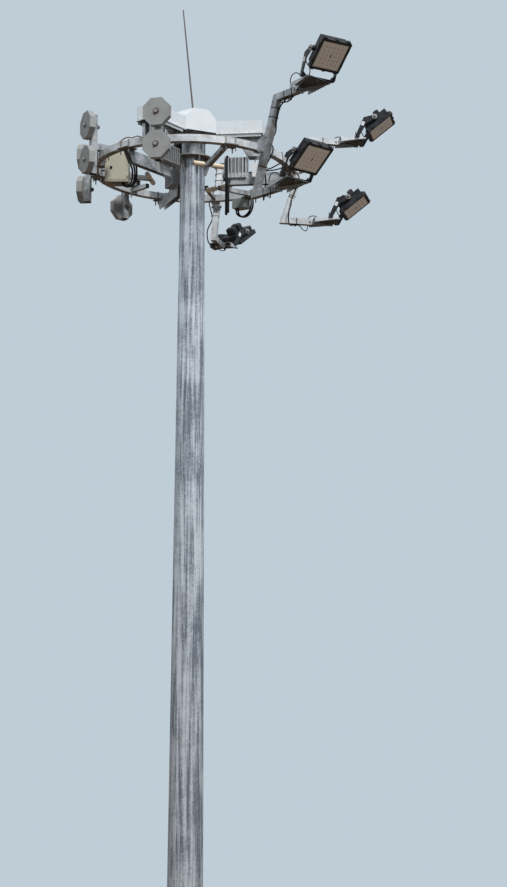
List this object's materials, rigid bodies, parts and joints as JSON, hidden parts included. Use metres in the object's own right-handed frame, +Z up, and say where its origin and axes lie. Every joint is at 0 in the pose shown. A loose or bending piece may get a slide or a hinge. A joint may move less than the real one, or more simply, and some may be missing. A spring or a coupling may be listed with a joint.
{
  "type": "high mast floodlight tower",
  "caption": "Tall tapered steel mast whose roller-guided ring of floodlights and counterweights is lowered on ropes.",
  "frame": {"origin": "centre of the base flange's underside", "axes": "+Z up along the mast, the six floodlights to +X, -Y faces the picture's camera and holds the service door"},
  "size_m": [3.2436, 3.7244, 30.8167],
  "materials": {
    "galvanised": "hot-dip galvanised, dull and mottled",
    "canopy_sheet": "bright galvanised sheet",
    "rod": "weathered rod",
    "rope": "stranded wire rope",
    "weight_plate": "grey primed steel plate",
    "box_enamel": "beige enamel",
    "box_plastic": "light grey plastic",
    "driver_case": "cast, satin",
    "roller_nylon": "cream nylon",
    "lamp_black": "charcoal powder coat",
    "lens": "clear lens sheet over light modules"
  },
  "bodies": {
    "mast": {"base_flange": "galvanised", "base_stiffeners": "galvanised", "mast_lower": "galvanised", "mast_middle": "galvanised", "mast_upper": "galvanised", "door_frame": "galvanised", "mast_door": "galvanised", "head_plate": "galvanised", "head_arms": "galvanised", "sheaves": "galvanised", "docking_guides": "galvanised", "canopy_arms": "canopy_sheet", "canopy_hub": "canopy_sheet", "lightning_rod": "rod", "hoist_ropes": "rope"},
    "carriage": {"carriage_ring": "galvanised", "ring_clamps": "galvanised", "ring_spokes": "galvanised", "guide_arms": "galvanised", "light_post_1": "galvanised", "light_post_2": "galvanised", "light_post_3": "galvanised", "lamp_brackets": "galvanised", "weight_posts": "galvanised", "counterweights": "weight_plate", "capped_stubs": "galvanised", "junction_box": "box_enamel", "junction_bracket": "galvanised", "splice_box": "box_enamel", "terminal_box": "box_plastic", "drivers": "driver_case"},
    "guide_rollers_1": {"guide_rollers_1": "roller_nylon"},
    "guide_rollers_2": {"guide_rollers_2": "roller_nylon"},
    "guide_rollers_3": {"guide_rollers_3": "roller_nylon"},
    "yoke_1": {"yoke_1": "lamp_black"},
    "floodlight_1": {"floodlight_1": "lamp_black", "lens_1": "lens"},
    "yoke_2": {"yoke_2": "lamp_black"},
    "floodlight_2": {"floodlight_2": "lamp_black", "lens_2": "lens"},
    "yoke_3": {"yoke_3": "lamp_black"},
    "floodlight_3": {"floodlight_3": "lamp_black", "lens_3": "lens"},
    "yoke_4": {"yoke_4": "lamp_black"},
    "floodlight_4": {"floodlight_4": "lamp_black", "lens_4": "lens"},
    "yoke_5": {"yoke_5": "lamp_black"},
    "floodlight_5": {"floodlight_5": "lamp_black", "lens_5": "lens"},
    "yoke_6": {"yoke_6": "lamp_black"},
    "floodlight_6": {"floodlight_6": "lamp_black", "lens_6": "lens"}
  },
  "joints": [
    {"name": "carriage_slide", "type": "slide", "parent": "mast", "child": "carriage", "axis": [0, 0, 1], "range_m": [-27.5, 0], "deforming": ["hoist_ropes"]},
    {"name": "roller_spin_1", "type": "hinge", "parent": "carriage", "child": "guide_rollers_1", "pos_m": [0.17146, -0.39434, 29.088], "axis": [0.9171, 0.3987, 0], "continuous": true},
    {"name": "roller_spin_2", "type": "hinge", "parent": "carriage", "child": "guide_rollers_2", "pos_m": [0.25577, 0.34566, 29.088], "axis": [-0.8039, 0.5948, 0], "continuous": true},
    {"name": "roller_spin_3", "type": "hinge", "parent": "carriage", "child": "guide_rollers_3", "pos_m": [-0.42724, 0.04868, 29.088], "axis": [-0.1132, -0.9936, 0], "continuous": true},
    {"name": "lamp_pan_1", "type": "hinge", "parent": "carriage", "child": "yoke_1", "pos_m": [1.17708, -1.28456, 29.5933], "axis": [0, 0, 1], "range_deg": [-30, 60]},
    {"name": "lamp_tilt_1", "type": "hinge", "parent": "yoke_1", "child": "floodlight_1", "pos_m": [1.26066, -1.44511, 29.7863], "axis": [0.887, 0.4617, 0], "range_deg": [-33, 37]},
    {"name": "lamp_pan_2", "type": "hinge", "parent": "carriage", "child": "yoke_2", "pos_m": [1.701, 0.3771, 29.5933], "axis": [0, 0, 1], "range_deg": [-19.5, 70.5]},
    {"name": "lamp_tilt_2", "type": "hinge", "parent": "yoke_2", "child": "floodlight_2", "pos_m": [1.87736, 0.33639, 29.7863], "axis": [0.225, 0.9744, 0], "range_deg": [-33, 37]},
    {"name": "lamp_pan_3", "type": "hinge", "parent": "carriage", "child": "yoke_3", "pos_m": [0.99129, -1.08181, 28.7373], "axis": [0, 0, 1], "range_deg": [-40.5, 49.5]},
    {"name": "lamp_tilt_3", "type": "hinge", "parent": "yoke_3", "child": "floodlight_3", "pos_m": [1.10273, -1.22444, 28.9303], "axis": [0.788, 0.6157, 0], "range_deg": [-33, 37]},
    {"name": "lamp_pan_4", "type": "hinge", "parent": "carriage", "child": "yoke_4", "pos_m": [1.43252, 0.31758, 28.7373], "axis": [0, 0, 1], "range_deg": [-17.5, 72.5]},
    {"name": "lamp_tilt_4", "type": "hinge", "parent": "yoke_4", "child": "floodlight_4", "pos_m": [1.60735, 0.27074, 28.9303], "axis": [0.2588, 0.9659, 0], "range_deg": [-33, 37]},
    {"name": "lamp_pan_5", "type": "hinge", "parent": "carriage", "child": "yoke_5", "pos_m": [0.29253, 1.43784, 28.7373], "axis": [0, 0, 1], "range_deg": [-13.5, 76.5]},
    {"name": "lamp_tilt_5", "type": "hinge", "parent": "yoke_5", "child": "floodlight_5", "pos_m": [0.41597, 1.57022, 28.9303], "axis": [-0.7314, 0.682, 0], "range_deg": [-33, 37]},
    {"name": "lamp_pan_6", "type": "hinge", "parent": "carriage", "child": "yoke_6", "pos_m": [0.34736, 1.70732, 29.5933], "axis": [0, 0, 1], "range_deg": [-56.5, 33.5]},
    {"name": "lamp_tilt_6", "type": "hinge", "parent": "yoke_6", "child": "floodlight_6", "pos_m": [0.34736, 1.88832, 29.7863], "axis": [-1, 0, 0], "range_deg": [-33, 37]}
  ]
}
